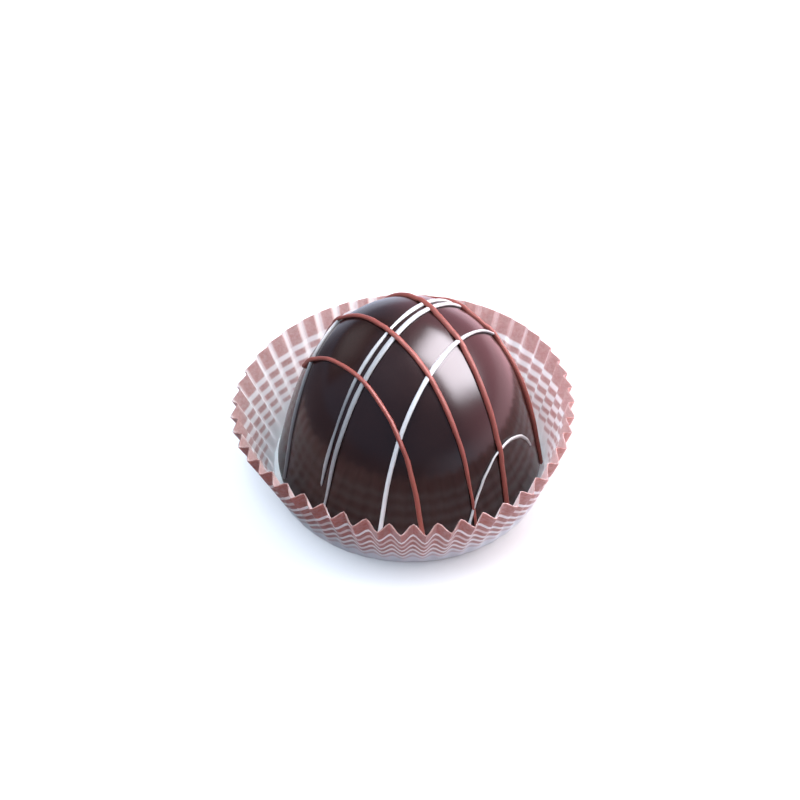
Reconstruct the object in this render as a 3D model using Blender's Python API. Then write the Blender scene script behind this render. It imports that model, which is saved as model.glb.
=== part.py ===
"""A dark chocolate truffle, drizzled with milk and white chocolate, in its pleated paper case.

Metres, +Z up. The case stands on z = 0 and the origin is under the middle of its outline. The body
stands on the case's floor, and the nine drizzled strands lie over the body as if poured from above,
so that each one follows a nearly straight line when it is seen from above.
"""

import math

import bmesh
import bpy
from mathutils import Vector

MM = 0.001

# Chocolate body: a turned dome with a tapered side, round shoulders and a softly rounded foot.
BODY_RADIUS = 15.98 * MM
BODY_HEIGHT = 21.4 * MM
BODY_TAPER = 0.32
BODY_SHOULDER = 4.25
FOOT_ROUND = 1.2 * MM
FOOT_STEPS = 3
BODY_STEPS = 15
BODY_SIDES = 44

# Paper case: a flat floor and a wall of V pleats that flares up to a straight-cut lip.
PAPER = 0.12 * MM
PLEATS = 48
PLEAT_COLUMNS = 4
PLEAT_TURN = math.radians(-2.8)
BASE_RADIUS = 16.42 * MM
BASE_FOLD = 0.34 * MM
BASE_CREASE = 0.30 * MM
LIP_RADIUS = 19.96 * MM
LIP_FOLD = 0.86 * MM
LIP_HEIGHT = 9.19 * MM
FOLD_RISE = 0.80 * MM
WALL_STEPS = 3

# The lip leans in and rises on one side, and waves a little on its way round. Each wave: how many
# times round, depth in mm and turn in degrees.
LIP_WAVES = ((1, 0.58, 0.0), (2, 0.15, 28.0), (3, 0.32, -14.0), (4, 0.08, 174.0))

# Pieces that touch in the real thing keep this much apart.
GAP = 0.06 * MM
FLOOR_GAP = 0.12 * MM

# Strands: half width, half height, sides round and steps along.
MILK_SECTION = (0.34 * MM, 0.25 * MM, 8, 40)
WHITE_SECTION = (0.30 * MM, 0.13 * MM, 6, 28)
STRAND_TIP = 0.5
CROSSING_FLAT = 0.9 * MM
CROSSING_END = 2.6 * MM

# Each strand: heading in degrees, then in mm its distance to the left of the body's axis, bow to the
# left at the top, drift from right to left towards the far end, wave, and the heights at which its
# far end and its near end stop.
MILK_STRANDS = (
    (-43.5, -8.5, 0.35, 1.55, 0.2, 12.4, 2.4),
    (-51.8, -2.8, 0.0, -0.2, -0.1, 2.4, 2.4),
    (-56.2, 2.8, 0.35, -0.4, 0.2, 2.4, 2.4),
    (-43.2, 8.8, 0.0, -0.3, -0.2, 2.4, 1.4),
)
WHITE_STRANDS = (
    (-119.0, -9.8, 0.1, 0.2, 0.0, 2.4, 1.8),
    (-129.5, -0.8, 0.0, 0.5, -0.55, 2.4, 6.0),
    (-128.5, 0.4, -0.1, 0.9, -0.45, 2.4, 2.4),
    (-124.4, 6.7, -1.2, 0.95, -0.35, 2.4, 2.4),
    (-126.9, 14.2, -0.95, 0.5, -0.2, 5.9, 2.4),
)

DARK_CHOCOLATE = ("dark_chocolate", (0.030, 0.016, 0.015), 0.22)
MILK_CHOCOLATE = ("milk_chocolate", (0.300, 0.095, 0.062), 0.38)
WHITE_CHOCOLATE = ("white_chocolate", (0.780, 0.740, 0.680), 0.40)
CASE_PAPER = ("case_paper", (0.640, 0.400, 0.360), 0.80)


def clear_scene():
    for old in list(bpy.data.objects):
        bpy.data.objects.remove(old)


def make_material(finish):
    name, colour, roughness = finish
    material = bpy.data.materials.new(name)
    material.use_nodes = True
    shader = material.node_tree.nodes["Principled BSDF"]
    shader.inputs["Base Color"].default_value = (*colour, 1.0)
    shader.inputs["Roughness"].default_value = roughness
    shader.inputs["Metallic"].default_value = 0.0
    return material


def add_object(name, mesh_data, material, parent):
    mesh = bpy.data.meshes.new(name)
    bmesh.ops.recalc_face_normals(mesh_data, faces=mesh_data.faces)
    mesh_data.to_mesh(mesh)
    mesh_data.free()
    mesh.shade_smooth()
    mesh.set_sharp_from_angle(angle=math.radians(35))
    mesh.materials.append(material)
    obj = bpy.data.objects.new(name, mesh)
    bpy.context.collection.objects.link(obj)
    obj.parent = parent
    return obj


def loft(rings, closed_ends=True):
    """Join rings of points, each a list of the same length, into one closed shape."""
    shape = bmesh.new()
    loops = [[shape.verts.new(point) for point in ring] for ring in rings]
    count = len(loops[0])
    for lower, upper in zip(loops, loops[1:]):
        for i in range(count):
            j = (i + 1) % count
            shape.faces.new((lower[i], lower[j], upper[j], upper[i]))
    if closed_ends:
        shape.faces.new(loops[0])
        shape.faces.new(loops[-1])
    return shape


# Chocolate body


def body_radius(height):
    """The body's radius at a height above its own foot, before the foot is rounded."""
    share = min(max(height / BODY_HEIGHT, 0.0), 1.0)
    return BODY_RADIUS * (1 - BODY_TAPER * share) * math.sqrt(1 - share**BODY_SHOULDER)


def body_profile():
    """Radius and height from the edge of the flat foot to the top."""
    inset = body_radius(FOOT_ROUND) - FOOT_ROUND
    points = []
    for step in range(FOOT_STEPS):
        turn = math.pi / 2 * step / FOOT_STEPS
        points.append((inset + FOOT_ROUND * math.sin(turn), FOOT_ROUND * (1 - math.cos(turn))))
    start = math.asin(FOOT_ROUND / BODY_HEIGHT)
    for step in range(BODY_STEPS + 1):
        turn = start + (math.pi / 2 - start) * step / BODY_STEPS
        height = BODY_HEIGHT * math.sin(turn)
        points.append((body_radius(height), height))
    return points


def make_body(parent):
    floor = PAPER + FLOOR_GAP
    shape = bmesh.new()
    outline = [shape.verts.new((radius, 0, floor + height)) for radius, height in body_profile()]
    middle = shape.verts.new((0, 0, floor))
    edges = [shape.edges.new(pair) for pair in zip([middle] + outline, outline)]
    bmesh.ops.spin(
        shape,
        geom=[middle] + outline + edges,
        axis=(0, 0, 1),
        cent=(0, 0, 0),
        angle=math.tau,
        steps=BODY_SIDES,
        use_merge=True,
    )
    bmesh.ops.remove_doubles(shape, verts=shape.verts, dist=0.001 * MM)
    return add_object("truffle", shape, make_material(DARK_CHOCOLATE), parent)


# Paper case


def lip_sway(angle):
    """How far the lip leans in, and so rises, at an angle round the case."""
    sway = 0.0
    for count, depth, turn in LIP_WAVES:
        sway += depth * MM * math.cos(count * angle - math.radians(turn))
    return sway


def fold_share(angle):
    """0 on a pleat's outer ridge and 1 in the fold between two pleats."""
    phase = ((angle - PLEAT_TURN) * PLEATS / math.tau) % 1.0
    return 1 - abs(1 - 2 * phase)


def wall_point(angle, share, inwards):
    """A point of the wall: share is 0 at the crease with the floor and 1 at the lip."""
    fold = fold_share(angle)
    sway = lip_sway(angle) * share
    base = BASE_RADIUS - BASE_FOLD * fold
    lip = LIP_RADIUS - LIP_FOLD * fold
    radius = base + (lip - base) * share - sway - inwards
    height = BASE_CREASE + (LIP_HEIGHT + FOLD_RISE * fold - BASE_CREASE) * share + sway
    return Vector((radius * math.cos(angle), radius * math.sin(angle), height))


def floor_ring(angles, height, inset):
    """The edge of the floor, just inside the crease."""
    ring = []
    for angle in angles:
        radius = BASE_RADIUS - BASE_FOLD * fold_share(angle) - inset
        ring.append(Vector((radius * math.cos(angle), radius * math.sin(angle), height)))
    return ring


def case_angles():
    count = PLEATS * PLEAT_COLUMNS
    return [PLEAT_TURN + math.tau * i / count for i in range(count)]


def make_case(parent):
    angles = case_angles()
    thickness = PAPER * 1.25
    crease = BASE_CREASE * 0.6
    shares = [step / WALL_STEPS for step in range(WALL_STEPS + 1)]
    outside = [[wall_point(angle, share, 0) for angle in angles] for share in shares]
    inside = [[wall_point(angle, share, thickness) for angle in angles] for share in shares]
    rings = [floor_ring(angles, 0, crease)]
    rings += outside + inside[::-1]
    rings.append(floor_ring(angles, PAPER, crease + thickness))
    return add_object("paper_case", loft(rings), make_material(CASE_PAPER), parent)


def outline_middle():
    """The middle of the object's outline seen from above, which its lip sets."""
    lip = [wall_point(angle, 1, 0) for angle in case_angles()]
    middle = Vector((0, 0, 0))
    for axis in (0, 1):
        places = [point[axis] for point in lip]
        middle[axis] = (min(places) + max(places)) / 2
    return middle


# Strands


def surface_point(heading, offset, turn):
    """Where a ray in the strand's upright plane, at an angle from its far foot, meets the body."""
    near, far = 0.0, 2 * BODY_HEIGHT
    for _ in range(40):
        reach = (near + far) / 2
        along = -reach * math.cos(turn)
        height = reach * math.sin(turn)
        outside = height >= BODY_HEIGHT or math.hypot(offset, along) > body_radius(height)
        near, far = (near, reach) if outside else (reach, far)
    forward = Vector((math.cos(heading), math.sin(heading), 0))
    left = Vector((-math.sin(heading), math.cos(heading), 0))
    return forward * along + left * offset + Vector((0, 0, height))


def surface_normal(point):
    """The direction straight out of the body at a point on it."""
    step = 0.01 * MM
    slope = (body_radius(point.z - step) - body_radius(point.z + step)) / (2 * step)
    outward = Vector((point.x, point.y, 0)).normalized()
    return (outward + Vector((0, 0, slope))).normalized()


def evenly_spaced(points, count):
    """The same line with points a steady distance apart."""
    lengths = [0.0]
    for before, after in zip(points, points[1:]):
        lengths.append(lengths[-1] + (after - before).length)
    spaced = []
    k = 0
    for i in range(count + 1):
        place = lengths[-1] * i / count
        while k < len(points) - 2 and lengths[k + 1] < place:
            k += 1
        part = (place - lengths[k]) / (lengths[k + 1] - lengths[k])
        spaced.append(points[k].lerp(points[k + 1], min(part, 1.0)))
    return spaced


def strand_line(strand, steps):
    """The line on the body's surface that a strand lies along, from its far end to its near end."""
    heading, offset, bow, drift, wave, far_stop, near_stop = strand
    samples = steps * 6
    line = []
    for i in range(1, samples):
        turn = math.pi * i / samples
        aside = offset + bow * math.sin(turn) + drift * math.cos(turn) + wave * math.sin(2 * turn)
        point = surface_point(math.radians(heading), aside * MM, turn)
        stop = far_stop if turn < math.pi / 2 else near_stop
        if point.z >= stop * MM:
            line.append(point)
    return evenly_spaced(line, steps)


def crossing_lift(point, lines, height):
    """How far a strand rises to pass over the strands that lie under it."""
    if not lines:
        return 0.0
    near = min((point - other).length for line in lines for other in line)
    share = min(max((CROSSING_END - near) / (CROSSING_END - CROSSING_FLAT), 0.0), 1.0)
    return height * share * share * (3 - 2 * share)


def strand_rings(line, section, under, under_height):
    half_width, half_height, sides, _ = section
    rings = []
    for i, point in enumerate(line):
        normal = surface_normal(point)
        along = (line[min(i + 1, len(line) - 1)] - line[max(i - 1, 0)]).normalized()
        across = along.cross(normal).normalized()
        size = STRAND_TIP if i in (0, len(line) - 1) else 1.0
        lift = GAP + half_height + crossing_lift(point, under, under_height)
        middle = point + normal * lift + Vector((0, 0, PAPER + FLOOR_GAP))
        ring = []
        for side in range(sides):
            turn = math.tau * (side + 0.5) / sides
            ring.append(
                middle
                + across * (half_width * size * math.cos(turn))
                + normal * (half_height * size * math.sin(turn))
            )
        rings.append(ring)
    return rings


def make_strands(parent):
    white_lines = [strand_line(strand, WHITE_SECTION[3]) for strand in WHITE_STRANDS]
    milk_lines = [strand_line(strand, MILK_SECTION[3]) for strand in MILK_STRANDS]
    white = make_material(WHITE_CHOCOLATE)
    milk = make_material(MILK_CHOCOLATE)
    fine_lines = [strand_line(strand, 4 * WHITE_SECTION[3]) for strand in WHITE_STRANDS]
    over_white = 2 * WHITE_SECTION[1] + GAP
    for number, line in enumerate(white_lines, 1):
        shape = loft(strand_rings(line, WHITE_SECTION, [], 0))
        add_object(f"white_strand_{number}", shape, white, parent)
    for number, line in enumerate(milk_lines, 1):
        shape = loft(strand_rings(line, MILK_SECTION, fine_lines, over_white))
        add_object(f"milk_strand_{number}", shape, milk, parent)


def main():
    clear_scene()
    parent = bpy.data.objects.new("set_down", None)
    bpy.context.collection.objects.link(parent)
    parent.location = -outline_middle()
    make_body(parent)
    make_case(parent)
    make_strands(parent)


main()
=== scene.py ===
import math
import random

import bpy
from mathutils import Matrix, Vector, noise


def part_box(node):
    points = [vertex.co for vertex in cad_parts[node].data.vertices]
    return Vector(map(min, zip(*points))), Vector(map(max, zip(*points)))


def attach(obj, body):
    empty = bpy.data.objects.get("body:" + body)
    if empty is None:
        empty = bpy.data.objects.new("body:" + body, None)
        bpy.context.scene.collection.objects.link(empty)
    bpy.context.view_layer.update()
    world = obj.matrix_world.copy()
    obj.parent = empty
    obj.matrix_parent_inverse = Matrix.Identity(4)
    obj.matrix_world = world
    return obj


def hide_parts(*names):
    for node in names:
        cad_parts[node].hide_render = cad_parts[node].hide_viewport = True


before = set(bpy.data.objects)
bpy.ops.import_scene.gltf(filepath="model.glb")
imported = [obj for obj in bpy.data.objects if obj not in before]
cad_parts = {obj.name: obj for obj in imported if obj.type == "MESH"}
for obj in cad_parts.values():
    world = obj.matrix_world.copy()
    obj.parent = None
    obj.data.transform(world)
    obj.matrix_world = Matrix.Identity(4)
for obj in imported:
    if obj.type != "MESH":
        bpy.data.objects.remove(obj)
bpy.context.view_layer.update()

MM = 0.001
UP = Vector((0, 0, 1))

# The chocolate body stands in the middle of the case's floor, and everything is set out from it.
body_low, body_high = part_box("truffle")
AXIS = Vector(((body_low.x + body_high.x) / 2, (body_low.y + body_high.y) / 2, 0))

# Body: a tapered dome with round shoulders and a rounded foot.
BODY_FOOT = body_low.z
BODY_HEIGHT = body_high.z - body_low.z
BODY_TAPER = 0.32
BODY_SHOULDER = 4.25
FOOT_ROUND = 1.2 * MM
BODY_WIDEST = (body_high.x - body_low.x) / 2
BODY_RADIUS = BODY_WIDEST / (1 - BODY_TAPER * FOOT_ROUND / BODY_HEIGHT)
FOOT_STEPS = 8
BODY_STEPS = 64
BODY_SIDES = 192

# Hand dipping leaves broad and fine swells. Both are waves per metre, and a height.
BROAD_SWELL = (130, 0.07 * MM)
FINE_SWELL = (330, 0.02 * MM)
SWELL_INSET = 0.05 * MM
SWELL_START = 3 * MM

# Case: a flat floor and a wall of pleats up to a straight-cut lip.
PAPER = 0.09 * MM
PLEATS = 48
PLEAT_COLUMNS = 8
PLEAT_TURN = math.radians(-2.8)
BASE_RADIUS = 16.42 * MM
BASE_FOLD = 0.34 * MM
BASE_CREASE = 0.25 * MM
FLOOR_INSET = 0.6 * BASE_CREASE
FLOOR_FOLD_SHARE = 0.12
LIP_RADIUS = 19.94 * MM
LIP_FOLD = 0.86 * MM
LIP_HEIGHT = 9.19 * MM
FOLD_RISE = 0.80 * MM
FOLD_SHARPNESS = 0.3
GATHER_HEIGHT = 0.16
WALL_ROWS = 16
WALL_LENGTH = 10.0 * MM

# The lip's slow waves: how many in a round, depth in mm, and where the first one lies in degrees.
LIP_WAVES = ((1, 0.58, 0.0), (2, 0.15, 28.0), (3, 0.32, -14.0), (4, 0.08, 174.0))

# Pleats differ a little: in depth as a share, and in how far a ridge stands aside, in pleats.
PLEAT_SEED = 11
DEPTH_SPREAD = (-0.10, 0.06)
RIDGE_SPREAD = 0.025

# Each strand: node, heading in degrees, distance to the left of the body's axis, bow to the left at
# the top, drift from right to left towards the far end, wave, and the heights of its far and near ends.
# All but the heading are in mm.
MILK_STRANDS = (
    ("milk_strand_1", -43.5, -8.5, 0.35, 1.55, 0.2, 12.8, 2.4),
    ("milk_strand_2", -51.8, -2.8, 0.0, -0.2, -0.1, 2.4, 2.4),
    ("milk_strand_3", -56.2, 2.8, 0.35, -0.4, 0.2, 2.4, 2.4),
    ("milk_strand_4", -43.2, 8.8, 0.0, -0.3, -0.2, 2.4, 0.8),
)
WHITE_STRANDS = (
    ("white_strand_1", -119.0, -9.8, 0.1, 0.2, 0.0, 2.4, 1.8),
    ("white_strand_2", -129.5, -0.8, 0.0, 0.5, -0.55, 2.4, 6.0),
    ("white_strand_3", -128.5, 0.4, -0.1, 0.9, -0.45, 2.4, 2.4),
    ("white_strand_4", -124.4, 6.7, -1.2, 0.95, -0.35, 2.4, 2.4),
    ("white_strand_5", -126.9, 14.2, -0.95, 0.5, -0.2, 5.9, 2.4),
)

# Half widths in mm at shares of each strand's length, from its far end to its near end.
HALF_WIDTHS = {
    "milk_strand_1": ((0.0, 0.33), (0.2, 0.30), (1.0, 0.31)),
    "milk_strand_2": ((0.0, 0.31), (0.70, 0.31), (0.80, 0.27), (0.93, 0.18), (1.0, 0.17)),
    "milk_strand_3": ((0.0, 0.31), (0.60, 0.31), (1.0, 0.28)),
    "milk_strand_4": ((0.0, 0.27), (0.60, 0.27), (0.80, 0.32), (1.0, 0.26)),
    "white_strand_1": ((0.0, 0.24), (0.45, 0.23), (0.60, 0.24), (0.78, 0.22), (1.0, 0.22)),
    "white_strand_2": (
        (0.0, 0.26), (0.50, 0.27), (0.58, 0.17), (0.67, 0.23), (0.84, 0.17), (0.93, 0.26), (1.0, 0.17),
    ),
    "white_strand_3": ((0.0, 0.28), (0.50, 0.31), (0.85, 0.28), (1.0, 0.20)),
    "white_strand_4": ((0.0, 0.25), (0.35, 0.28), (0.50, 0.36), (0.56, 0.40), (0.63, 0.32), (1.0, 0.30)),
    "white_strand_5": (
        (0.0, 0.12), (0.15, 0.20), (0.30, 0.28), (0.42, 0.27), (0.50, 0.20), (0.62, 0.25), (1.0, 0.26),
    ),
}

# How well the white chocolate covers, and painted shade: towards their near ends the strands are darkened,
# in part where the white is smeared thin over the dark chocolate and in part as painted shade where they run
# into shadow.
COVERS_AND_SHADE = {
    "white_strand_1": ((0.0, 1.0), (0.40, 0.75), (0.55, 0.60), (0.68, 0.25), (1.0, 0.18)),
    "white_strand_2": ((0.0, 1.0), (0.56, 1.0), (0.66, 0.60), (0.80, 0.22), (0.92, 0.32), (1.0, 0.30)),
    "white_strand_3": (
        (0.0, 1.0), (0.44, 0.95), (0.52, 0.72), (0.58, 0.55), (0.72, 0.42), (0.84, 0.30), (1.0, 0.34),
    ),
    "white_strand_4": ((0.0, 1.0), (0.62, 1.0), (0.72, 0.92), (0.78, 0.88), (1.0, 0.90)),
    "white_strand_5": ((0.0, 1.0), (0.45, 1.0), (0.60, 0.80), (1.0, 0.75)),
}

# A strand's section is its half height as a share of its half width, and how far it sinks in.
WHITE_FLATNESS = 0.55
WHITE_SINK = 0.08 * MM
MILK_FLATNESS = 0.80
MILK_SINK = 0.14 * MM
SECTION_STEPS = 5
STRAND_STEPS = 150
LINE_SAMPLES = 3 * STRAND_STEPS

# Where a milk strand crosses a white one it is lifted, fully up to the first distance.
CROSSING_LIFT = 0.15 * MM
CROSSING_FLAT = 0.5 * MM
CROSSING_END = 1.5 * MM

# The hand's unevenness along a strand: how many waves in its length, and how far.
SWAY_WAVES = 9
SWAY = 0.12 * MM
LUMP_WAVES = 26
LUMP_SHARE = 0.07
LUMP_ROW = 5

# A strand's end is rounded over this many half widths, and never quite to a point.
TIP_LENGTH = 1.4
TIP_LEAST = 0.02

# How near points are merged, and up to which angle in degrees a surface is shaded smooth.
BODY_MERGE = 0.002 * MM
STRAND_MERGE = 0.001 * MM
BODY_SMOOTH = 60
STRAND_SMOOTH = 70
PAPER_SMOOTH = 50

# How often the search for the body's surface halves its span, and the height its slope is taken over.
SEARCH_STEPS = 40
SLOPE_STEP = 0.01 * MM

# Chocolates: deep and light colour, roughness and its spread.
DARK_CHOCOLATE = ((0.0135, 0.005, 0.0045), (0.019, 0.0075, 0.0065), 0.21, 0.05)
MILK_CHOCOLATE = ((0.178, 0.041, 0.031), (0.220, 0.058, 0.044), 0.45, 0.06)
WHITE_CHOCOLATE = ((0.51, 0.51, 0.52), (0.59, 0.59, 0.60), 0.42, 0.06)
# The darkened white: part dark chocolate showing through a thin smear, part painted shade.
THIN_AND_SHADED_WHITE = (0.030, 0.032, 0.040)
CHOCOLATE_IOR = 1.38
TEMPERED_IOR = 1.42
MOTTLE_SCALE = 160.0
MOTTLE_DETAIL = 3.0
MOTTLE_DEEP = 0.30
MOTTLE_LIGHT = 0.70
RIPPLE_SCALE = 420.0
RIPPLE_DETAIL = 2.0
RIPPLE_STRENGTH = 0.35
RIPPLE_HEIGHT = 0.04 * MM

# The print, in mm down the wall from the lip: where each ring ends, and how much ink it has.
PRINT_RINGS = (
    (2.60, 1.00),
    (3.18, 0.00),
    (4.10, 1.00),
    (4.68, 0.35),
    (5.55, 1.00),
    (6.06, 0.00),
    (6.78, 0.95),
    (7.30, 0.00),
    (7.96, 0.85),
    (8.47, 0.00),
    (8.93, 0.40),
    (10.0, 0.00),
)

# How softly a ring ends in mm, outside and inside. Inside, a ring with more ink than a half is
# narrower at each end, and the others are plain.
PRINT_SOFTNESS = 0.10
INSIDE_SOFTNESS = 0.24
INSIDE_NARROWER = 0.06
FULL_RING = 0.5

# Painted glare inside the case: the ink is paled on one flank of each pleat, in pleats, and on one side of
# the case, where those flanks face the window.
PAINTED_GLARE_MIDDLE = 0.17
PAINTED_GLARE_FLANK = (0.33, 0.21)
PAINTED_GLARE_SIDE = math.radians(150.0)
PAINTED_GLARE_SIDE_ENDS = (0.15, 0.80)
PAINTED_GLARE_SHARE = 0.72

# Paper: its own white, which turns at the foot of the wall (outside to a blue-grey painted shade that
# darkens the wall towards the bottom, inside to a less pink white), the inks, and the sheen of each side.
PLAIN_PAPER = (0.87, 0.82, 0.82)
OUTSIDE_FOOT_SHADE = (0.72, 0.72, 0.77)
INSIDE_FOOT = (0.87, 0.85, 0.85)
FOOT_START = 0.70
FOOT_END = 0.90
OUTSIDE_INK = (0.35, 0.118, 0.082)
INSIDE_INK = (0.48, 0.29, 0.27)
# The cut edge's ink is darker than the outside's: painted shade on the lip's edge.
EDGE_INK_AND_SHADE = (0.20, 0.08, 0.065)
OUTSIDE_SHEEN = 0.25
INSIDE_SHEEN = 0.8
SHEEN_ROUGHNESS = 0.4
PAPER_ROUGHNESS = 0.42
PAPER_SPECULAR = 0.3
PAPER_GLOW_RADIUS = (1.0, 0.85, 0.85)
PAPER_GLOW_DEPTH = 0.3 * MM
FIBRE_SCALE = 2600.0
FIBRE_DETAIL = 4.0
FIBRE_ROUGHNESS = 0.6
FIBRE_LOW = 0.3
FIBRE_HIGH = 0.7
FIBRE_INK = 0.78
FIBRE_STRENGTH = 0.25
FIBRE_HEIGHT = 0.03 * MM

# Studio: colours from the dim front left, 0, round to the bright back right, 1.
BRIGHT_WAY = (0.90, 0.44, 0.0)
MIRRORED_AIR = ((0.0, (0.20, 0.36, 0.56)), (0.60, (0.24, 0.33, 0.47)), (1.0, (2.4, 1.05, 1.30)))
LIGHTING_AIR = ((0.08, (0.18, 0.165, 0.18)), (0.35, (0.34, 0.33, 0.37)), (1.0, (0.42, 0.41, 0.45)))
MIRRORED_FLOOR = ((0.35, (0.16, 0.18, 0.24)), (0.67, (1.1, 1.2, 1.5)), (0.95, (3.0, 1.7, 1.95)))
LIGHTING_FLOOR = ((0.08, (0.03, 0.035, 0.05)), (0.35, (0.40, 0.39, 0.42)), (1.0, (0.46, 0.44, 0.47)))
BACKDROP = (0.96, 0.96, 0.97)
FLOOR_COLOUR = (0.72, 0.72, 0.73)
FLOOR_ROUGHNESS = 0.7
FLOOR_SIZE = 3.0
FLOOR_FADE_START = 0.10
FLOOR_FADE_END = 0.30

# Panels of light: colour, strength, and where each fades in and out along and across it, from -1 to 1.
WINDOW_LIGHT = ((1.0, 0.94, 0.95), 6.8, (-1.0, -0.7, 0.2, 1.1), (-0.95, -0.75, 0.80, 1.0))
WINDOW_GLEAM = ((0.97, 0.915, 1.0), 27.0, (-1.0, -0.35, 0.4, 1.1), (-0.95, -0.75, 0.80, 1.0))
SIDE_LIGHT = ((0.86, 0.96, 1.08), 7.0, (-1.0, -0.6, 0.6, 1.0), (-1.0, -0.6, 0.6, 1.0))
BACK_LIGHT = ((0.92, 0.96, 1.0), 0.75, (-1.0, -0.2, 0.2, 1.0), (-1.0, -0.2, 0.2, 1.0))

# Where they hang: the way to each from the truffle, the way of its long side, and in metres its
# distance, length and width.
WINDOW_LONG_SIDE = (0.683, -0.558, -0.471)
WINDOW_PLACE = ((0.72, 0.12, 0.68), WINDOW_LONG_SIDE, 0.30, 0.47, 0.26)
GLEAM_PLACE = ((0.62, 0.10, 0.78), WINDOW_LONG_SIDE, 0.301, 0.47, 0.26)
SIDE_PLACE = ((-0.42, -0.10, 0.90), (0, 1, 0), 0.35, 0.42, 0.42)
BACK_PLACE = ((-0.72, 0.57, 0.45), (0.57, 0.72, 0), 0.40, 0.40, 0.30)
LIT_POINT = AXIS + Vector((0, 0, 10 * MM))

CAMERA_PLACE = AXIS + Vector((-1.10, -107.92, 110.45)) * MM
CAMERA_TILT = math.radians(46.916)
CAMERA_LENS = 57.5
CAMERA_FILM = 36.0
CAMERA_NEAR = 0.005


# ---------------------------------------------------------------- handling pieces


def deselect_all():
    bpy.ops.object.select_all(action="DESELECT")
    bpy.context.view_layer.objects.active = None


def pick(obj):
    deselect_all()
    obj.select_set(True)
    bpy.context.view_layer.objects.active = obj


def edit(obj):
    pick(obj)
    bpy.ops.object.mode_set(mode="EDIT")


def leave_edit():
    bpy.ops.object.mode_set(mode="OBJECT")


def apply_modifiers(obj):
    pick(obj)
    for modifier in list(obj.modifiers):
        bpy.ops.object.modifier_apply(modifier=modifier.name)


def settle_place(obj):
    """Puts the object's place into its mesh, so that the object itself sits at the origin."""
    pick(obj)
    bpy.ops.object.transform_apply(location=True, rotation=True, scale=True)


def smooth(obj, degrees):
    pick(obj)
    bpy.ops.object.shade_smooth_by_angle(angle=math.radians(degrees))


def ease(share):
    """Turns a straight run from 0 to 1 into one that starts and ends gently."""
    return share * share * (3 - 2 * share)


# ---------------------------------------------------------------- the body's surface


def body_radius(height):
    share = min(max(height / BODY_HEIGHT, 0.0), 1.0)
    return BODY_RADIUS * (1 - BODY_TAPER * share) * math.sqrt(1 - share**BODY_SHOULDER)


def body_profile():
    """Radius and height from the edge of the flat foot to the top."""
    inset = body_radius(FOOT_ROUND) - FOOT_ROUND
    points = []
    for step in range(FOOT_STEPS):
        turn = math.pi / 2 * step / FOOT_STEPS
        points.append((inset + FOOT_ROUND * math.sin(turn), FOOT_ROUND * (1 - math.cos(turn))))
    start = math.asin(FOOT_ROUND / BODY_HEIGHT)
    for step in range(BODY_STEPS + 1):
        turn = start + (math.pi / 2 - start) * step / BODY_STEPS
        height = BODY_HEIGHT * math.sin(turn)
        points.append((body_radius(height), height))
    return points


def surface_point(heading, offset, turn):
    """Where a ray in a strand's upright plane, at an angle from its far foot, meets the body."""
    near, far = 0.0, 2 * BODY_HEIGHT
    for _ in range(SEARCH_STEPS):
        reach = (near + far) / 2
        along = -reach * math.cos(turn)
        height = reach * math.sin(turn)
        outside = height >= BODY_HEIGHT or math.hypot(offset, along) > body_radius(height)
        near, far = (near, reach) if outside else (reach, far)
    forward = Vector((math.cos(heading), math.sin(heading), 0))
    left = Vector((-math.sin(heading), math.cos(heading), 0))
    return forward * along + left * offset + UP * height


def surface_normal(point):
    fall = body_radius(point.z - SLOPE_STEP) - body_radius(point.z + SLOPE_STEP)
    outward = Vector((point.x, point.y, 0)).normalized()
    return (outward + UP * (fall / (2 * SLOPE_STEP))).normalized()


# ---------------------------------------------------------------- parts of materials


def new_material(name):
    material = bpy.data.materials.new(name)
    material.use_nodes = True
    return material, material.node_tree, principled(material)


def principled(material):
    return material.node_tree.nodes["Principled BSDF"]


def node(tree, kind, **values):
    made = tree.nodes.new(kind)
    for key, value in values.items():
        if key in made.inputs:
            made.inputs[key].default_value = value
        else:
            setattr(made, key, value)
    return made


def maths(tree, operation, first, *others):
    """A sum in the material; each input is a socket or a number."""
    made = node(tree, "ShaderNodeMath", operation=operation)
    for k, value in enumerate((first, *others)):
        if isinstance(value, (int, float)):
            made.inputs[k].default_value = value
        else:
            tree.links.new(value, made.inputs[k])
    return made.outputs["Value"]


def stretch(tree, value, source, target=(0.0, 1.0), interpolation="LINEAR"):
    """Carries a value from one range to another, and stops at the ends."""
    made = node(tree, "ShaderNodeMapRange", interpolation_type=interpolation)
    made.inputs["From Min"].default_value = source[0]
    made.inputs["From Max"].default_value = source[1]
    made.inputs["To Min"].default_value = target[0]
    made.inputs["To Max"].default_value = target[1]
    tree.links.new(value, made.inputs["Value"])
    return made.outputs["Result"]


def smooth_step(tree, value, low, high):
    return stretch(tree, value, (low, high), interpolation="SMOOTHSTEP")


def ramp(tree, share, stops):
    """A colour that changes with a share, between stops of a place and a colour each."""
    made = tree.nodes.new("ShaderNodeValToRGB")
    elements = made.color_ramp.elements
    while len(elements) < len(stops):
        elements.new(0.5)
    for element, (place, colour) in zip(elements, stops):
        element.position = place
        element.color = (*colour, 1.0)
    tree.links.new(share, made.inputs["Fac"])
    return made.outputs["Color"]


def blend_colours(tree, share, first, second):
    """The first colour at 0 and the second at 1; each is a socket or a plain colour."""
    mix = node(tree, "ShaderNodeMix", data_type="RGBA")
    tree.links.new(share, mix.inputs["Factor"])
    for name, colour in (("A", first), ("B", second)):
        if isinstance(colour, tuple):
            mix.inputs[name].default_value = (*colour, 1.0)
        else:
            tree.links.new(colour, mix.inputs[name])
    return mix.outputs["Result"]


def blend_shaders(tree, share, first, second):
    mix = node(tree, "ShaderNodeMixShader")
    tree.links.new(share, mix.inputs["Fac"])
    tree.links.new(first, mix.inputs[1])
    tree.links.new(second, mix.inputs[2])
    return mix.outputs["Shader"]


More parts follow.
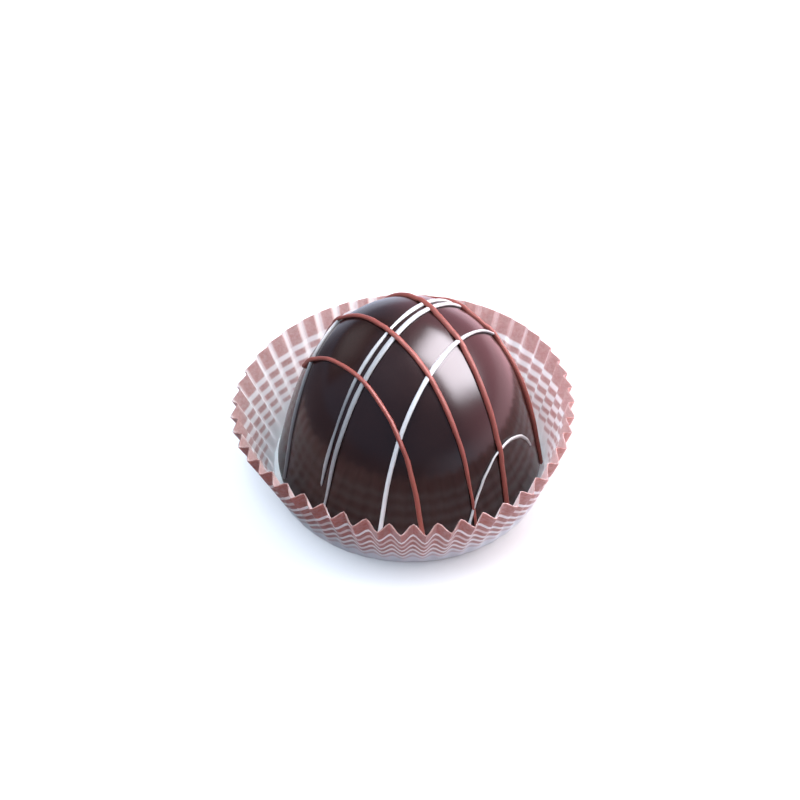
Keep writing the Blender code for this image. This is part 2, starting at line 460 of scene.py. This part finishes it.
def cloud(tree, scale, detail, roughness=0.5):
    """Soft noise fixed to the piece."""
    place = node(tree, "ShaderNodeTexCoord")
    made = node(tree, "ShaderNodeTexNoise", Scale=scale, Detail=detail, Roughness=roughness)
    tree.links.new(place.outputs["Object"], made.inputs["Vector"])
    return made.outputs["Fac"]


def add_bump(tree, shader, source, strength, height):
    bump = node(tree, "ShaderNodeBump", Strength=strength, Distance=height)
    tree.links.new(source, bump.inputs["Height"])
    tree.links.new(bump.outputs["Normal"], shader.inputs["Normal"])


# ---------------------------------------------------------------- chocolates


def chocolate_material(name, deep, light, roughness, spread):
    """Tempered chocolate: gently mottled colour, uneven gloss and a soft ripple."""
    material, tree, shader = new_material(name)
    mottle = cloud(tree, MOTTLE_SCALE, MOTTLE_DETAIL)
    colour = ramp(tree, mottle, ((MOTTLE_DEEP, deep), (MOTTLE_LIGHT, light)))
    tree.links.new(colour, shader.inputs["Base Color"])
    gloss = stretch(tree, mottle, (0.0, 1.0), (roughness - spread, roughness + spread))
    tree.links.new(gloss, shader.inputs["Roughness"])
    add_bump(tree, shader, cloud(tree, RIPPLE_SCALE, RIPPLE_DETAIL), RIPPLE_STRENGTH, RIPPLE_HEIGHT)
    shader.inputs["IOR"].default_value = CHOCOLATE_IOR
    return material


def dark_chocolate():
    """The body's chocolate, a little glossier than the strands."""
    material = chocolate_material("dark_chocolate", *DARK_CHOCOLATE)
    principled(material).inputs["IOR"].default_value = TEMPERED_IOR
    return material


def milk_chocolate():
    return chocolate_material("milk_chocolate", *MILK_CHOCOLATE)


def white_chocolate():
    """White chocolate, darkened towards the strands' near ends: in part the dark chocolate showing where it
    is smeared thin, in part painted shade.
    """
    material = chocolate_material("white_chocolate", *WHITE_CHOCOLATE)
    tree = material.node_tree
    base_colour = principled(material).inputs["Base Color"]
    full = base_colour.links[0].from_socket
    cover_and_shade = node(tree, "ShaderNodeAttribute", attribute_name="cover_and_shade")
    tree.links.new(blend_colours(tree, cover_and_shade.outputs["Fac"], THIN_AND_SHADED_WHITE, full), base_colour)
    return material


# ---------------------------------------------------------------- printed paper


def inside_rings():
    """Seen from the inside, every line between the rings is plain and a little wider."""
    rings = []
    for end, ink in PRINT_RINGS:
        if ink > FULL_RING:
            rings.append((end - INSIDE_NARROWER, ink))
        else:
            rings.append((end + INSIDE_NARROWER, 0.0))
    return rings


def laid_ink(tree, down, fibre, rings, softness):
    """How much ink lies at a distance down the wall, a little less of it between the fibres."""
    soft = softness * MM / WALL_LENGTH
    stops = [(0.0, (1.0, 1.0, 1.0))]
    for (end, ink), (_, following) in zip(rings, rings[1:]):
        place = end * MM / WALL_LENGTH
        stops.append((place - soft / 2, (ink,) * 3))
        stops.append((place + soft / 2, (following,) * 3))
    held = stretch(tree, fibre, (FIBRE_LOW, FIBRE_HIGH), (FIBRE_INK, 1.0))
    return maths(tree, "MULTIPLY", ramp(tree, down, stops), held)


def ink_under_painted_glare(tree, around):
    """The share of the ink left inside: less on one flank of each pleat on the side across from the window,
    as painted glare.
    """
    pleat = maths(tree, "MULTIPLY", around, float(PLEATS))
    from_middle = maths(tree, "FRACT", maths(tree, "SUBTRACT", pleat, PAINTED_GLARE_MIDDLE - 0.5))
    aside = maths(tree, "ABSOLUTE", maths(tree, "SUBTRACT", from_middle, 0.5))
    flank = smooth_step(tree, aside, *PAINTED_GLARE_FLANK)
    angle = maths(tree, "MULTIPLY", around, math.tau)
    turned = maths(tree, "COSINE", maths(tree, "SUBTRACT", angle, PAINTED_GLARE_SIDE - PLEAT_TURN))
    side = smooth_step(tree, turned, *PAINTED_GLARE_SIDE_ENDS)
    # Painted glare: the ink is paled on the lit flanks of that side.
    pale = maths(tree, "MULTIPLY", maths(tree, "MULTIPLY", flank, side), PAINTED_GLARE_SHARE)
    return maths(tree, "SUBTRACT", 1.0, pale)


def set_paper_finish(shader, sheen):
    shader.inputs["Roughness"].default_value = PAPER_ROUGHNESS
    shader.inputs["Specular IOR Level"].default_value = PAPER_SPECULAR
    shader.inputs["Subsurface Weight"].default_value = 1.0
    shader.inputs["Subsurface Radius"].default_value = PAPER_GLOW_RADIUS
    shader.inputs["Subsurface Scale"].default_value = PAPER_GLOW_DEPTH
    shader.inputs["Sheen Weight"].default_value = sheen
    shader.inputs["Sheen Roughness"].default_value = SHEEN_ROUGHNESS


def paper_material(name, ink, foot, sheen, rings=PRINT_RINGS, softness=PRINT_SOFTNESS, ink_under_glare=None):
    """White sweet-case paper with rings of ink, laid on along the wall from the lip down."""
    material, tree, shader = new_material(name)
    print_map = node(tree, "ShaderNodeUVMap", uv_map="print")
    split = node(tree, "ShaderNodeSeparateXYZ")
    tree.links.new(print_map.outputs["UV"], split.inputs["Vector"])
    around = split.outputs["X"]
    down = split.outputs["Y"]
    fibre = cloud(tree, FIBRE_SCALE, FIBRE_DETAIL, FIBRE_ROUGHNESS)
    laid = laid_ink(tree, down, fibre, rings, softness)
    # On the inside, painted glare pales the ink on the pleat flanks that face the window.
    if ink_under_glare:
        laid = maths(tree, "MULTIPLY", laid, ink_under_glare(tree, around))
    # Towards the foot the paper turns to the foot colour, which outside is painted shade.
    plain = ramp(tree, down, ((FOOT_START, PLAIN_PAPER), (FOOT_END, foot)))
    tree.links.new(blend_colours(tree, laid, plain, ink), shader.inputs["Base Color"])
    add_bump(tree, shader, fibre, FIBRE_STRENGTH, FIBRE_HEIGHT)
    set_paper_finish(shader, sheen)
    return material


def printed_outside():
    return paper_material("printed_outside", OUTSIDE_INK, OUTSIDE_FOOT_SHADE, OUTSIDE_SHEEN)


def printed_inside():
    """The inside of the case, where the ink only shows through the paper, paled as painted glare on the
    pleat flanks that face the window.
    """
    return paper_material(
        "printed_inside",
        INSIDE_INK,
        INSIDE_FOOT,
        INSIDE_SHEEN,
        rings=inside_rings(),
        softness=INSIDE_SOFTNESS,
        ink_under_glare=ink_under_painted_glare,
    )


def cut_edge():
    """The thin cut edge of the lip, with no light glowing through it, its ink painted darker than the
    outside's as painted shade.
    """
    material = paper_material("cut_edge", EDGE_INK_AND_SHADE, OUTSIDE_FOOT_SHADE, 0.0)
    principled(material).inputs["Subsurface Weight"].default_value = 0.0
    return material


# ---------------------------------------------------------------- chocolate body


def dip_by_hand(body):
    """Gives the turned body the slight unevenness of a hand-dipped one."""
    base = AXIS + UP * BODY_FOOT
    for vertex in body.data.vertices:
        height = vertex.co.z - BODY_FOOT
        if height > FOOT_ROUND:
            swell = -SWELL_INSET
            for waves, high in (BROAD_SWELL, FINE_SWELL):
                swell += noise.noise(vertex.co * waves) * high
            fade = min((height - FOOT_ROUND) / SWELL_START, 1.0)
            vertex.co += surface_normal(vertex.co - base) * swell * fade


def make_body():
    """The outline is drawn point by point, spun round the axis, and made a little uneven."""
    deselect_all()
    bpy.ops.mesh.primitive_plane_add(size=2 * MM, location=AXIS)
    body = bpy.context.object
    body.name = "chocolate_body"
    settle_place(body)
    edit(body)
    bpy.ops.mesh.select_mode(type="VERT")
    bpy.ops.mesh.select_all(action="SELECT")
    bpy.ops.mesh.merge(type="CENTER")
    bpy.ops.transform.translate(value=(0, 0, BODY_FOOT))
    before = (0.0, 0.0)
    for radius, height in body_profile():
        step = (radius - before[0], 0, height - before[1])
        bpy.ops.mesh.extrude_region_move(TRANSFORM_OT_translate={"value": step})
        before = (radius, height)
    bpy.ops.mesh.select_all(action="SELECT")
    bpy.ops.mesh.spin(steps=BODY_SIDES, angle=math.tau, center=AXIS, axis=(0, 0, 1))
    bpy.ops.mesh.select_all(action="SELECT")
    bpy.ops.mesh.remove_doubles(threshold=BODY_MERGE)
    bpy.ops.mesh.normals_make_consistent(inside=False)
    leave_edit()
    dip_by_hand(body)
    smooth(body, BODY_SMOOTH)
    body.data.materials.append(dark_chocolate())
    return body


# ---------------------------------------------------------------- drizzled strands


def evenly_spaced(points, count):
    lengths = [0.0]
    for before, after in zip(points, points[1:]):
        lengths.append(lengths[-1] + (after - before).length)
    spaced = []
    k = 0
    for i in range(count + 1):
        place = lengths[-1] * i / count
        while k < len(points) - 2 and lengths[k + 1] < place:
            k += 1
        part = (place - lengths[k]) / (lengths[k + 1] - lengths[k])
        spaced.append(points[k].lerp(points[k + 1], min(part, 1.0)))
    return spaced


def strand_line(strand):
    """The line on the body's surface that a strand lies along, from its far end to its near end."""
    _, heading, offset, bow, drift, wave, far_stop, near_stop = strand
    line = []
    for i in range(1, LINE_SAMPLES):
        turn = math.pi * i / LINE_SAMPLES
        aside = (offset + bow * math.sin(turn) + drift * math.cos(turn) + wave * math.sin(2 * turn)) * MM
        point = surface_point(math.radians(heading), aside, turn)
        stop = far_stop if turn < math.pi / 2 else near_stop
        if point.z >= stop * MM:
            line.append(point)
    return evenly_spaced(line, STRAND_STEPS)


def crossing_lift(point, lines_under):
    """How far a strand is lifted by the ones that it crosses."""
    if not lines_under:
        return 0.0
    near = min((point - other).length for line in lines_under for other in line)
    share = min(max((CROSSING_END - near) / (CROSSING_END - CROSSING_FLAT), 0.0), 1.0)
    return CROSSING_LIFT * ease(share)


def value_along(table, share):
    """The value at a share of a strand's length, smoothly between the table's places."""
    for (start, before), (end, after) in zip(table, table[1:]):
        if share <= end:
            return before + (after - before) * ease((share - start) / (end - start))
    return table[-1][1]


def lay_cover_and_shade(strand, piece):
    """Writes into the mesh, for its material, how far each point keeps its full white; the rest is darkened,
    part thin smear and part painted shade.
    """
    cover_and_shade_table = COVERS_AND_SHADE[strand[0]]
    line = strand_line(strand)
    base = AXIS + UP * BODY_FOOT
    layer = piece.data.attributes.new("cover_and_shade", "FLOAT", "POINT")
    for vertex in piece.data.vertices:
        spot = vertex.co - base
        nearest = min(range(len(line)), key=lambda k: (line[k] - spot).length_squared)
        layer.data[vertex.index].value = value_along(cover_and_shade_table, nearest / (len(line) - 1))


def strand_section(flatness):
    """The strand's oval section, one millimetre in half width, for the curve to scale."""
    deselect_all()
    bpy.ops.curve.primitive_bezier_circle_add(radius=1.0, location=(0, 0, 0))
    section = bpy.context.object
    section.scale = (MM, flatness * MM, 1)
    bpy.ops.object.transform_apply(location=False, rotation=False, scale=True)
    section.data.resolution_u = SECTION_STEPS
    return section


def lay_points(spline, strand, flatness, sink, lines_under):
    """Lays the curve's points on the body, each with its width and turned flat to the surface."""
    name = strand[0]
    line = strand_line(strand)
    count = len(line) - 1
    step = (line[1] - line[0]).length
    seed = sum(ord(letter) for letter in name)
    base = AXIS + UP * BODY_FOOT
    spline.points.add(count)
    for i, point in enumerate(line):
        share = i / count
        wide = value_along(HALF_WIDTHS[name], share)
        normal = surface_normal(point)
        along = (line[min(i + 1, count)] - line[max(i - 1, 0)]).normalized()
        across = along.cross(normal).normalized()
        rise = flatness * wide * MM - sink + crossing_lift(point, lines_under)
        sway = noise.noise(Vector((seed, share * SWAY_WAVES, 0))) * SWAY
        place = base + point + normal * rise + across * sway
        from_end = min(share, 1 - share) * count * step / (wide * MM)
        tip = math.sqrt(max(1 - (1 - min(from_end / TIP_LENGTH, 1.0)) ** 2, TIP_LEAST))
        lumps = 1 + LUMP_SHARE * noise.noise(Vector((seed, share * LUMP_WAVES, LUMP_ROW)))
        level = (UP - along * along.z).normalized()
        spline.points[i].co = (*place, 1.0)
        spline.points[i].radius = wide * tip * lumps
        spline.points[i].tilt = -math.atan2(level.cross(normal).dot(along), level.dot(normal))


def make_strand(strand, flatness, sink, lines_under, material):
    """A curve is laid over the body, given its oval section, and made a mesh."""
    section = strand_section(flatness)
    curve = bpy.data.curves.new(strand[0], "CURVE")
    curve.dimensions = "3D"
    curve.twist_mode = "Z_UP"
    curve.bevel_mode = "OBJECT"
    curve.bevel_object = section
    curve.use_fill_caps = True
    lay_points(curve.splines.new("POLY"), strand, flatness, sink, lines_under)
    piece = bpy.data.objects.new(strand[0] + "_drizzle", curve)
    bpy.context.scene.collection.objects.link(piece)
    pick(piece)
    bpy.ops.object.convert(target="MESH")
    piece = bpy.context.object
    edit(piece)
    bpy.ops.mesh.select_all(action="SELECT")
    bpy.ops.mesh.remove_doubles(threshold=STRAND_MERGE)
    bpy.ops.mesh.normals_make_consistent(inside=False)
    leave_edit()
    bpy.data.objects.remove(section)
    smooth(piece, STRAND_SMOOTH)
    piece.data.materials.clear()
    piece.data.materials.append(material)
    return piece


# ---------------------------------------------------------------- paper case


def lip_sway(angle):
    sway = 0.0
    for count, depth, turn in LIP_WAVES:
        sway += depth * MM * math.cos(count * angle - math.radians(turn))
    return sway


def fold_amount(share, up):
    """How far in a point lies between a ridge, 0, and a fold, 1: soft waves below, sharper at the lip."""
    soft = (1 - math.cos(math.pi * share)) / 2
    return soft + (share - soft) * up * FOLD_SHARPNESS


def share_of_height(z):
    return (z - BASE_CREASE) / (LIP_HEIGHT - BASE_CREASE)


def turns_round(co):
    """How far round the case a point lies, as a share of a turn from the first ridge."""
    return (math.atan2(co.y - AXIS.y, co.x - AXIS.x) - PLEAT_TURN) / math.tau % 1.0


def wall_steps(floor_edge):
    """How much each row of the wall is wider, as a factor, and higher than the one below it."""
    steps = [(BASE_RADIUS / floor_edge, BASE_CREASE)]
    radius = BASE_RADIUS
    height = BASE_CREASE
    for row in range(1, WALL_ROWS + 1):
        share = row / WALL_ROWS
        wide = BASE_RADIUS + (LIP_RADIUS - BASE_RADIUS) * share
        high = BASE_CREASE + (LIP_HEIGHT - BASE_CREASE) * share
        steps.append((wide / radius, high - height))
        radius = wide
        height = high
    return steps


def turn_up_cup():
    """A round sheet with its edge turned up, row by row, into a plain cup."""
    floor_edge = BASE_RADIUS - FLOOR_INSET
    deselect_all()
    bpy.ops.mesh.primitive_circle_add(
        vertices=PLEATS * PLEAT_COLUMNS,
        radius=floor_edge,
        fill_type="NGON",
        location=AXIS,
        rotation=(0, 0, PLEAT_TURN),
    )
    cup = bpy.context.object
    cup.name = "pleated_case"
    settle_place(cup)
    edit(cup)
    bpy.ops.mesh.select_mode(type="EDGE")
    bpy.ops.mesh.select_all(action="SELECT")
    for widen, rise in wall_steps(floor_edge):
        bpy.ops.mesh.extrude_edges_move(TRANSFORM_OT_translate={"value": (0, 0, rise)})
        bpy.ops.transform.resize(value=(widen, widen, 1), center_override=AXIS)
    leave_edit()
    return cup


def lay_print(case):
    """The print's map: once round for U, and the distance down from the lip for V."""
    layer = case.data.uv_layers.new(name="print")
    for face in case.data.polygons:
        middle = turns_round(face.center)
        for loop in face.loop_indices:
            co = case.data.vertices[case.data.loops[loop].vertex_index].co
            ahead = (turns_round(co) - middle + 0.5) % 1.0 - 0.5
            down = min(1 - share_of_height(co.z), 1.0)
            layer.data[loop].uv = (middle + ahead, down)


def fold_wall(case):
    """Each column of points between two ridges is drawn in and up, row by row."""
    draw = random.Random(PLEAT_SEED)
    depths = [1 + draw.uniform(*DEPTH_SPREAD) for _ in range(PLEATS)]
    turns = [draw.uniform(-RIDGE_SPREAD, RIDGE_SPREAD) for _ in range(PLEATS)]
    for vertex in case.data.vertices:
        co = vertex.co - AXIS
        angle = math.atan2(co.y, co.x)
        radius = math.hypot(co.x, co.y)
        above = min(max(share_of_height(co.z), 0.0), 1.0)
        around = ((angle - PLEAT_TURN) * PLEATS / math.tau) % PLEATS
        column = round(around * PLEAT_COLUMNS) % PLEAT_COLUMNS
        valley = int(around) % PLEATS
        ridge = int(around + 0.5) % PLEATS
        fold = fold_amount(1 - abs(1 - 2 * column / PLEAT_COLUMNS), above) * depths[valley]
        gathered = FLOOR_FOLD_SHARE + (1 - FLOOR_FOLD_SHARE) * min(above / GATHER_HEIGHT, 1.0)
        fold_depth = BASE_FOLD * gathered + (LIP_FOLD - BASE_FOLD) * above
        sway = lip_sway(angle) * above
        radius -= fold_depth * fold + sway
        if column != PLEAT_COLUMNS // 2:
            angle += turns[ridge] * math.tau / PLEATS * above
        height = co.z + FOLD_RISE * fold * above + sway
        vertex.co = AXIS + Vector((radius * math.cos(angle), radius * math.sin(angle), height))


def give_thickness(case):
    """The folded sheet gets the paper's thickness inwards, with its own inside and cut edge."""
    edit(case)
    bpy.ops.mesh.select_all(action="SELECT")
    bpy.ops.mesh.normals_make_consistent(inside=False)
    leave_edit()
    thicken = case.modifiers.new("paper", "SOLIDIFY")
    thicken.thickness = PAPER
    thicken.offset = -1.0
    thicken.material_offset = 1
    thicken.material_offset_rim = 2
    case.data.materials.append(printed_outside())
    case.data.materials.append(printed_inside())
    case.data.materials.append(cut_edge())
    apply_modifiers(case)


def make_case():
    """The cup's print is laid on before it is pleated, so that the rings follow the folds."""
    case = turn_up_cup()
    lay_print(case)
    fold_wall(case)
    give_thickness(case)
    smooth(case, PAPER_SMOOTH)
    return case


# ---------------------------------------------------------------- studio


def towards_bright_side(tree, vector):
    """How far a direction points to the studio's bright back right: 0 away from it, 1 at it."""
    level = node(tree, "ShaderNodeVectorMath", operation="MULTIPLY")
    level.inputs[1].default_value = (1.0, 1.0, 0.0)
    tree.links.new(vector, level.inputs[0])
    unit = node(tree, "ShaderNodeVectorMath", operation="NORMALIZE")
    tree.links.new(level.outputs["Vector"], unit.inputs[0])
    dot = node(tree, "ShaderNodeVectorMath", operation="DOT_PRODUCT")
    dot.inputs[1].default_value = BRIGHT_WAY
    tree.links.new(unit.outputs["Vector"], dot.inputs[0])
    return stretch(tree, dot.outputs["Value"], (-1.0, 1.0))


def fade_at_ends(tree, place, low, low_full, high_full, high):
    """One along a side between two places, falling to nothing at its ends."""
    rising = smooth_step(tree, place, low, low_full)
    falling = smooth_step(tree, place, high, high_full)
    return maths(tree, "MULTIPLY", rising, falling)


def glow_material(name, colour, strength, along, across):
    """A soft light that fades towards the panel's edges."""
    material = bpy.data.materials.new(name)
    material.use_nodes = True
    tree = material.node_tree
    tree.nodes.clear()
    place = node(tree, "ShaderNodeTexCoord")
    split = node(tree, "ShaderNodeSeparateXYZ")
    tree.links.new(place.outputs["Object"], split.inputs["Vector"])
    fade_along = fade_at_ends(tree, split.outputs["X"], *along)
    fade_across = fade_at_ends(tree, split.outputs["Y"], *across)
    power = maths(tree, "MULTIPLY", maths(tree, "MULTIPLY", fade_along, fade_across), strength)
    light = node(tree, "ShaderNodeEmission", Color=(*colour, 1.0))
    tree.links.new(power, light.inputs["Strength"])
    output = node(tree, "ShaderNodeOutputMaterial")
    tree.links.new(light.outputs["Emission"], output.inputs["Surface"])
    return material


def add_soft_panel(name, material, way, long_way, distance, length, width):
    """A panel of light that faces the truffle."""
    deselect_all()
    bpy.ops.mesh.primitive_plane_add(size=2, location=(0, 0, 0))
    panel = bpy.context.object
    panel.name = name
    facing = -Vector(way).normalized()
    long_side = Vector(long_way)
    long_side = (long_side - facing * long_side.dot(facing)).normalized()
    short_side = facing.cross(long_side)
    turn = Matrix((long_side, short_side, facing)).transposed().to_4x4()
    panel.matrix_world = Matrix.Translation(LIT_POINT - facing * distance) @ turn
    panel.scale = (length / 2, width / 2, 1)
    panel.data.materials.append(material)
    panel.visible_camera = False
    panel.visible_shadow = False
    return panel


def add_window():
    """The window on the right lights with one panel and gleams in the chocolate with another."""
    lamp = add_soft_panel("window_panel", glow_material("window_light", *WINDOW_LIGHT), *WINDOW_PLACE)
    lamp.visible_glossy = False
    gleam = add_soft_panel("gleam_panel", glow_material("window_gleam", *WINDOW_GLEAM), *GLEAM_PLACE)
    gleam.visible_diffuse = False


def add_side_light():
    fill = add_soft_panel("side_panel", glow_material("side_light", *SIDE_LIGHT), *SIDE_PLACE)
    fill.visible_glossy = False


def add_back_light():
    add_soft_panel("back_panel", glow_material("back_light", *BACK_LIGHT), *BACK_PLACE)


def studio_floor():
    """A pale floor, dimmer in the chocolate's gloss and as a bounce on the side away from the window."""
    material, tree, shader = new_material("studio_floor")
    shader.inputs["Base Color"].default_value = (*FLOOR_COLOUR, 1.0)
    shader.inputs["Roughness"].default_value = FLOOR_ROUGHNESS
    shader.inputs["Specular IOR Level"].default_value = 0.0
    path = node(tree, "ShaderNodeLightPath")
    place = node(tree, "ShaderNodeTexCoord")
    share = towards_bright_side(tree, place.outputs["Object"])
    bounce = node(tree, "ShaderNodeBsdfDiffuse")
    tree.links.new(ramp(tree, share, LIGHTING_FLOOR), bounce.inputs["Color"])
    mirrored = node(tree, "ShaderNodeEmission", Strength=1.0)
    tree.links.new(ramp(tree, share, MIRRORED_FLOOR), mirrored.inputs["Color"])
    lit = blend_shaders(tree, path.outputs["Is Diffuse Ray"], shader.outputs["BSDF"], bounce.outputs["BSDF"])
    near_floor = blend_shaders(tree, path.outputs["Is Glossy Ray"], lit, mirrored.outputs["Emission"])
    surface = fade_to_backdrop(tree, place, path, near_floor)
    tree.links.new(surface, tree.nodes["Material Output"].inputs["Surface"])
    return material


def fade_to_backdrop(tree, place, path, near_floor):
    """Far from the object the floor runs into the plain pale backdrop."""
    distance = node(tree, "ShaderNodeVectorMath", operation="LENGTH")
    tree.links.new(place.outputs["Object"], distance.inputs[0])
    far = smooth_step(tree, distance.outputs["Value"], FLOOR_FADE_START, FLOOR_FADE_END)
    backdrop = node(tree, "ShaderNodeEmission", Color=(*BACKDROP, 1.0), Strength=1.0)
    share = maths(tree, "MULTIPLY", far, path.outputs["Is Camera Ray"])
    return blend_shaders(tree, share, near_floor, backdrop.outputs["Emission"])


def lay_floor():
    deselect_all()
    bpy.ops.mesh.primitive_plane_add(size=FLOOR_SIZE, location=(0, 0, 0))
    floor = bpy.context.object
    floor.name = "studio_floor"
    floor.data.materials.append(studio_floor())


def set_air():
    """The air lights softly, has its own colours in the chocolate's gloss, and looks plain and pale."""
    world = bpy.data.worlds.new("studio_air")
    bpy.context.scene.world = world
    world.use_nodes = True
    tree = world.node_tree
    path = node(tree, "ShaderNodeLightPath")
    place = node(tree, "ShaderNodeTexCoord")
    share = towards_bright_side(tree, place.outputs["Generated"])
    lighting = ramp(tree, share, LIGHTING_AIR)
    mirrored = ramp(tree, share, MIRRORED_AIR)
    around = blend_colours(tree, path.outputs["Is Glossy Ray"], lighting, mirrored)
    seen = blend_colours(tree, path.outputs["Is Camera Ray"], around, BACKDROP)
    background = tree.nodes["Background"]
    tree.links.new(seen, background.inputs["Color"])
    background.inputs["Strength"].default_value = 1.0


def set_studio():
    add_window()
    add_side_light()
    add_back_light()
    set_air()
    lay_floor()
    bpy.context.scene.view_settings.view_transform = "Standard"


def set_camera():
    camera = bpy.data.cameras.new("camera")
    camera.lens = CAMERA_LENS
    camera.sensor_width = CAMERA_FILM
    camera.clip_start = CAMERA_NEAR
    obj = bpy.data.objects.new("camera", camera)
    obj.location = CAMERA_PLACE
    obj.rotation_euler = (CAMERA_TILT, 0, 0)
    bpy.context.scene.collection.objects.link(obj)
    bpy.context.scene.camera = obj


# ---------------------------------------------------------------- putting it together


def main():
    body = make_body()
    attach(body, "root")
    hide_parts("truffle")

    case = make_case()
    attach(case, "root")
    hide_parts("paper_case")

    white = white_chocolate()
    milk = milk_chocolate()
    white_lines = [strand_line(strand) for strand in WHITE_STRANDS]
    for strand in WHITE_STRANDS:
        piece = make_strand(strand, WHITE_FLATNESS, WHITE_SINK, [], white)
        lay_cover_and_shade(strand, piece)
        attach(piece, "root")
        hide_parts(strand[0])
    for strand in MILK_STRANDS:
        piece = make_strand(strand, MILK_FLATNESS, MILK_SINK, white_lines, milk)
        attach(piece, "root")
        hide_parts(strand[0])

    set_studio()
    set_camera()


main()
